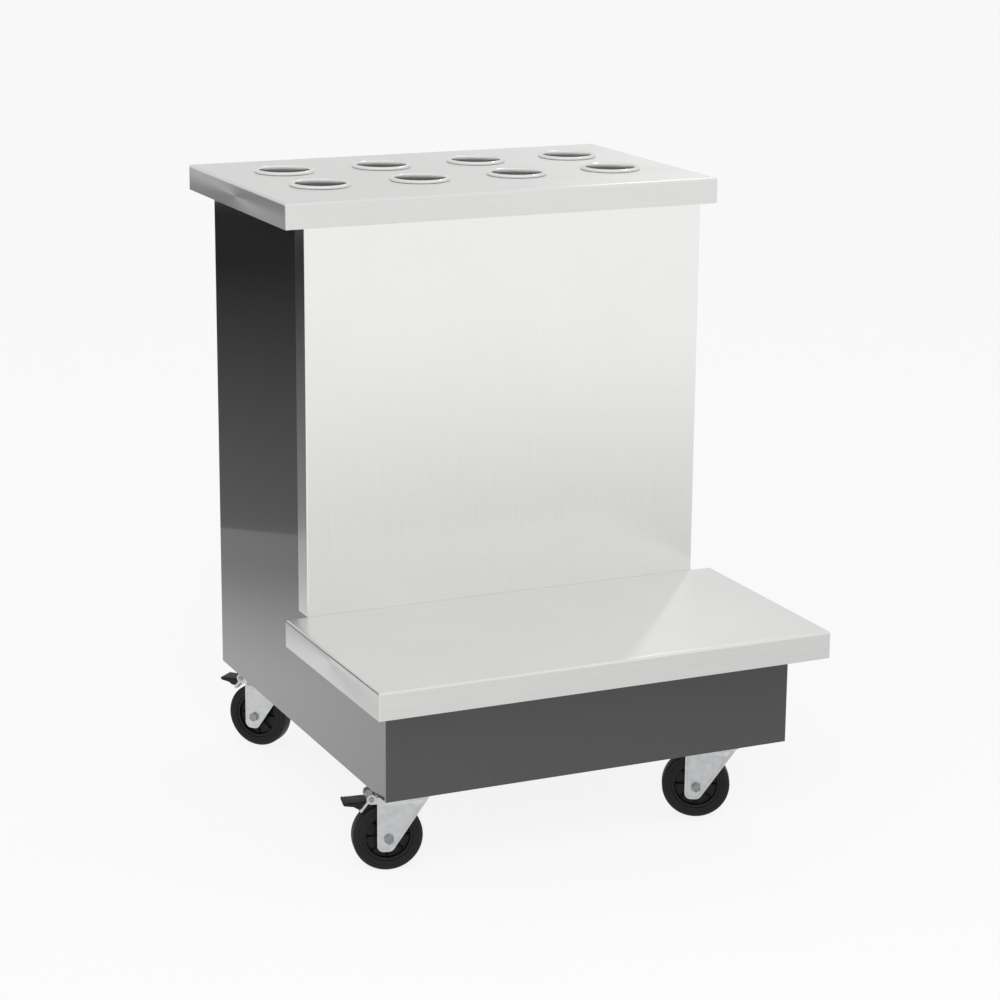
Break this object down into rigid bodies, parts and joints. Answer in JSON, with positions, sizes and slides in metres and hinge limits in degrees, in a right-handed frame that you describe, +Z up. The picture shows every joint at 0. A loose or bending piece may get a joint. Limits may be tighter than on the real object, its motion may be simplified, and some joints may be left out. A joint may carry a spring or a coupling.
{
  "type": "tray and silverware stand",
  "caption": "Wheeled stand: tall cabinet column with silverware cylinders in its stainless top and a low tray shelf in front, on swivel casters.",
  "frame": {"origin": "on the floor, at the middle of the footprint of the whole stand", "axes": "+X to the right seen from the front, +Y towards the open back, +Z up; the tray shelf is at -Y"},
  "size_m": [0.886, 0.987, 1.168],
  "materials": {
    "stainless_top": "brushed stainless steel, No. 4 finish",
    "stainless_panel": "brushed stainless steel, bright",
    "stainless_cylinder": "polished stainless steel",
    "enamel_panel": "gloss charcoal enamel on steel sheet",
    "galvanised_frame": "galvanised steel, dull",
    "zinc_plate": "bright zinc plate",
    "bright_fastener": "plated steel",
    "black_rubber": "hard black rubber",
    "black_core": "black moulded polypropylene",
    "black_pedal": "black moulded nylon"
  },
  "bodies": {
    "stand": {"base_front_panel": "enamel_panel", "bottom_deck": "galvanised_frame", "caster_bolts": "bright_fastener", "front_left_caster_plate": "zinc_plate", "front_panel": "stainless_panel", "front_right_caster_plate": "zinc_plate", "front_top_rail": "galvanised_frame", "kingpins": "zinc_plate", "left_caster_channel": "galvanised_frame", "left_front_upright": "galvanised_frame", "left_rear_upright": "galvanised_frame", "left_shelf_runner": "galvanised_frame", "left_shelf_stiffener": "galvanised_frame", "left_side_panel": "enamel_panel", "left_top_rail": "galvanised_frame", "rear_left_caster_plate": "zinc_plate", "rear_right_caster_plate": "zinc_plate", "rear_screws": "bright_fastener", "rear_top_rail": "galvanised_frame", "right_caster_channel": "galvanised_frame", "right_front_upright": "galvanised_frame", "right_rear_upright": "galvanised_frame", "right_shelf_runner": "galvanised_frame", "right_shelf_stiffener": "galvanised_frame", "right_side_panel": "enamel_panel", "right_top_rail": "galvanised_frame", "step_rail": "galvanised_frame", "storage_shelf": "galvanised_frame", "swivel_balls": "bright_fastener", "tray_shelf": "stainless_top", "work_top": "stainless_top"},
    "front_left_swivel": {"front_left_fork": "zinc_plate", "front_left_axle_set": "zinc_plate"},
    "front_left_wheel": {"front_left_wheel_core": "black_core", "front_left_tyre": "black_rubber"},
    "front_left_brake": {"front_left_brake_arm": "zinc_plate", "front_left_brake_pedal": "black_pedal"},
    "front_right_swivel": {"front_right_fork": "zinc_plate", "front_right_axle_set": "zinc_plate"},
    "front_right_wheel": {"front_right_wheel_core": "black_core", "front_right_tyre": "black_rubber"},
    "rear_left_swivel": {"rear_left_fork": "zinc_plate", "rear_left_axle_set": "zinc_plate"},
    "rear_left_wheel": {"rear_left_wheel_core": "black_core", "rear_left_tyre": "black_rubber"},
    "rear_left_brake": {"rear_left_brake_arm": "zinc_plate", "rear_left_brake_pedal": "black_pedal"},
    "rear_right_swivel": {"rear_right_fork": "zinc_plate", "rear_right_axle_set": "zinc_plate"},
    "rear_right_wheel": {"rear_right_wheel_core": "black_core", "rear_right_tyre": "black_rubber"},
    "cylinder_1": {"silverware_cylinder_1": "stainless_cylinder"},
    "cylinder_2": {"silverware_cylinder_2": "stainless_cylinder"},
    "cylinder_3": {"silverware_cylinder_3": "stainless_cylinder"},
    "cylinder_4": {"silverware_cylinder_4": "stainless_cylinder"},
    "cylinder_5": {"silverware_cylinder_5": "stainless_cylinder"},
    "cylinder_6": {"silverware_cylinder_6": "stainless_cylinder"},
    "cylinder_7": {"silverware_cylinder_7": "stainless_cylinder"},
    "cylinder_8": {"silverware_cylinder_8": "stainless_cylinder"}
  },
  "joints": [
    {"name": "front_left_swivel_turn", "type": "hinge", "parent": "stand", "child": "front_left_swivel", "pos_m": [-0.314, -0.3265, 0.142], "axis": [0, 0, 1], "continuous": true},
    {"name": "front_left_wheel_roll", "type": "hinge", "parent": "front_left_swivel", "child": "front_left_wheel", "pos_m": [-0.35687, -0.3166, 0.0635], "axis": [-0.225, -0.9744, 0], "continuous": true},
    {"name": "front_left_brake_press", "type": "hinge", "parent": "front_left_swivel", "child": "front_left_brake", "pos_m": [-0.38708, -0.30963, 0.139], "axis": [-0.225, -0.9744, 0], "range_deg": [0, 8.5]},
    {"name": "front_right_swivel_turn", "type": "hinge", "parent": "stand", "child": "front_right_swivel", "pos_m": [0.314, -0.3265, 0.142], "axis": [0, 0, 1], "continuous": true},
    {"name": "front_right_wheel_roll", "type": "hinge", "parent": "front_right_swivel", "child": "front_right_wheel", "pos_m": [0.2748, -0.30652, 0.0635], "axis": [-0.454, -0.891, 0], "continuous": true},
    {"name": "rear_left_swivel_turn", "type": "hinge", "parent": "stand", "child": "rear_left_swivel", "pos_m": [-0.314, 0.3555, 0.142], "axis": [0, 0, 1], "continuous": true},
    {"name": "rear_left_wheel_roll", "type": "hinge", "parent": "rear_left_swivel", "child": "rear_left_wheel", "pos_m": [-0.34228, 0.38921, 0.0635], "axis": [-0.766, -0.6428, 0], "continuous": true},
    {"name": "rear_left_brake_press", "type": "hinge", "parent": "rear_left_swivel", "child": "rear_left_brake", "pos_m": [-0.36221, 0.41295, 0.139], "axis": [-0.766, -0.6428, 0], "range_deg": [0, 8.5]},
    {"name": "rear_right_swivel_turn", "type": "hinge", "parent": "stand", "child": "rear_right_swivel", "pos_m": [0.314, 0.3555, 0.142], "axis": [0, 0, 1], "continuous": true},
    {"name": "rear_right_wheel_roll", "type": "hinge", "parent": "rear_right_swivel", "child": "rear_right_wheel", "pos_m": [0.27796, 0.38074, 0.0635], "axis": [-0.5736, -0.8192, 0], "continuous": true},
    {"name": "cylinder_1_lift", "type": "slide", "parent": "stand", "child": "cylinder_1", "axis": [0, 0, 1], "range_m": [0, 0.16]},
    {"name": "cylinder_2_lift", "type": "slide", "parent": "stand", "child": "cylinder_2", "axis": [0, 0, 1], "range_m": [0, 0.16]},
    {"name": "cylinder_3_lift", "type": "slide", "parent": "stand", "child": "cylinder_3", "axis": [0, 0, 1], "range_m": [0, 0.16]},
    {"name": "cylinder_4_lift", "type": "slide", "parent": "stand", "child": "cylinder_4", "axis": [0, 0, 1], "range_m": [0, 0.16]},
    {"name": "cylinder_5_lift", "type": "slide", "parent": "stand", "child": "cylinder_5", "axis": [0, 0, 1], "range_m": [0, 0.16]},
    {"name": "cylinder_6_lift", "type": "slide", "parent": "stand", "child": "cylinder_6", "axis": [0, 0, 1], "range_m": [0, 0.16]},
    {"name": "cylinder_7_lift", "type": "slide", "parent": "stand", "child": "cylinder_7", "axis": [0, 0, 1], "range_m": [0, 0.16]},
    {"name": "cylinder_8_lift", "type": "slide", "parent": "stand", "child": "cylinder_8", "axis": [0, 0, 1], "range_m": [0, 0.16]}
  ]
}
